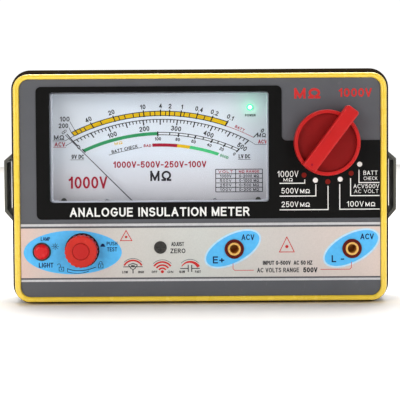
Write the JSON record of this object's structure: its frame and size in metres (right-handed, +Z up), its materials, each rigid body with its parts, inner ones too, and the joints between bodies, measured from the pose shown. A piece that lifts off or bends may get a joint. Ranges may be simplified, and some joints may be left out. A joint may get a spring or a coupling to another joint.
{
  "type": "insulation resistance tester",
  "caption": "Hand-held analogue insulation resistance tester with a moving-coil meter, range knob, locking test knob, light button and two output jacks.",
  "frame": {"origin": "bottom centre of the tester's box, standing upright on its bottom edge", "axes": "+X to the right seen from the front, +Y from the front panel to the back, +Z up"},
  "size_m": [0.1792, 0.0616, 0.1062],
  "materials": {
    "front_plastic": "fine-textured grey ABS",
    "shell_plastic": "textured black ABS",
    "strap_plastic": "matte black nylon",
    "bumper_yellow": "smooth yellow elastomer",
    "seal_rubber": "black rubber",
    "zinc_steel": "zinc-plated steel",
    "label_black": "printed black film",
    "strip_beige": "printed light film",
    "lens_clear": "clear acrylic window",
    "bezel_grey": "light grey ABS",
    "dial_print": "printed dial sheet",
    "carrier_plastic": "black phenolic",
    "dark_screw": "blackened steel",
    "bright_pin": "polished",
    "needle_black": "black enamel",
    "copper_wire": "enamelled copper",
    "spring_steel": "spring steel",
    "soft_iron": "nickelled soft iron",
    "brass": "turned brass",
    "led_green": "clear green epoxy",
    "lamp_white": "clear epoxy",
    "knob_red": "satin red ABS",
    "plate_red": "dark red plate",
    "test_red": "red ABS",
    "cap_red": "red inlay",
    "guide_plastic": "black nylon",
    "button_red": "glossy red",
    "collar_red": "glossy dark red",
    "board_green": "solder mask",
    "ferrite": "sintered ferrite",
    "winding_tape": "polyester tape",
    "capacitor_sleeve": "shrink sleeve",
    "fuse_glass": "glass tube",
    "cell_jacket": "printed jacket"
  },
  "bodies": {
    "case": {"front_case": "front_plastic", "yellow_bumper": "bumper_yellow", "rear_case": "shell_plastic", "case_gasket": "seal_rubber", "case_screws": "zinc_steel", "rubber_feet": "seal_rubber", "strap_loop_left": "strap_plastic", "strap_loop_right": "strap_plastic", "panel_label": "label_black", "control_strip": "strip_beige", "window_lens": "lens_clear", "meter_bezel": "bezel_grey", "dial_plate": "dial_print", "dial_screws": "dark_screw", "dial_pins": "bright_pin", "meter_frame": "carrier_plastic", "movement_yoke": "soft_iron", "movement_core": "soft_iron", "movement_bridges": "brass", "jewel_screws": "brass", "power_led": "led_green", "dial_lamps": "lamp_white", "switch_housing": "zinc_steel", "switch_contacts": "brass", "detent_ball": "zinc_steel", "test_guide": "guide_plastic", "light_ring": "guide_plastic", "push_switches": "guide_plastic", "control_board": "board_green", "jack_collars": "collar_red", "jack_sockets": "brass", "panel_nuts": "zinc_steel", "main_board": "board_green", "inner_screws": "zinc_steel", "transformer_core": "ferrite", "transformer_winding": "winding_tape", "capacitor": "capacitor_sleeve", "fuse": "fuse_glass", "fuse_clips": "brass", "battery_tray": "shell_plastic", "aa_cells": "cell_jacket", "battery_contacts": "spring_steel"},
    "range_knob": {"range_knob": "knob_red", "knob_insert": "plate_red", "switch_shaft": "zinc_steel", "switch_rotor": "guide_plastic"},
    "pointer": {"pointer": "needle_black", "moving_coil": "copper_wire", "coil_staffs": "zinc_steel", "hairspring": "spring_steel"},
    "zero_screw": {"zero_screw": "dark_screw"},
    "zero_arm": {"zero_arm": "spring_steel"},
    "test_plunger": {"test_plunger": "zinc_steel", "test_spring": "spring_steel"},
    "test_knob": {"test_knob": "test_red", "test_knob_cap": "cap_red"},
    "light_button": {"light_button": "button_red", "light_spring": "spring_steel"},
    "battery_cover": {"battery_cover": "shell_plastic"},
    "cover_screw": {"cover_screw": "zinc_steel"}
  },
  "joints": [
    {"name": "range_turn", "type": "hinge", "parent": "case", "child": "range_knob", "pos_m": [0.057, -0.01775, 0.0727], "axis": [0, -1, 0], "range_deg": [0, 90]},
    {"name": "pointer_swing", "type": "hinge", "parent": "case", "child": "pointer", "pos_m": [-0.01825, -0.00975, 0.0337], "axis": [0, 1, 0], "range_deg": [-5, 95], "stiffness_Nm_per_rad": 0.00002},
    {"name": "zero_turn", "type": "hinge", "parent": "case", "child": "zero_screw", "pos_m": [-0.01825, -0.01775, 0.0257], "axis": [0, 1, 0], "range_deg": [-60, 60]},
    {"name": "zero_arm_turn", "type": "hinge", "parent": "case", "child": "zero_arm", "pos_m": [-0.01825, -0.01225, 0.0337], "axis": [0, 1, 0], "range_deg": [-6.5, 6.5]},
    {"name": "test_press", "type": "slide", "parent": "case", "child": "test_plunger", "axis": [0, 1, 0], "range_m": [0, 0.003], "stiffness_N_per_m": 400},
    {"name": "test_lock_turn", "type": "hinge", "parent": "test_plunger", "child": "test_knob", "pos_m": [-0.0537, -0.01775, 0.0246], "axis": [0, 1, 0], "range_deg": [0, 45]},
    {"name": "light_press", "type": "slide", "parent": "case", "child": "light_button", "axis": [0, 1, 0], "range_m": [0, 0.0015], "stiffness_N_per_m": 300},
    {"name": "battery_cover_off", "type": "slide", "parent": "case", "child": "battery_cover", "axis": [0, 1, 0], "range_m": [0, 0.025]},
    {"name": "cover_screw_turn", "type": "hinge", "parent": "battery_cover", "child": "cover_screw", "pos_m": [-0.013, 0.02825, 0.0767], "axis": [0, 1, 0], "continuous": true}
  ],
  "couplings": [
    {"joint": "zero_arm_turn", "follows": "zero_turn", "ratio": 0.1}
  ]
}
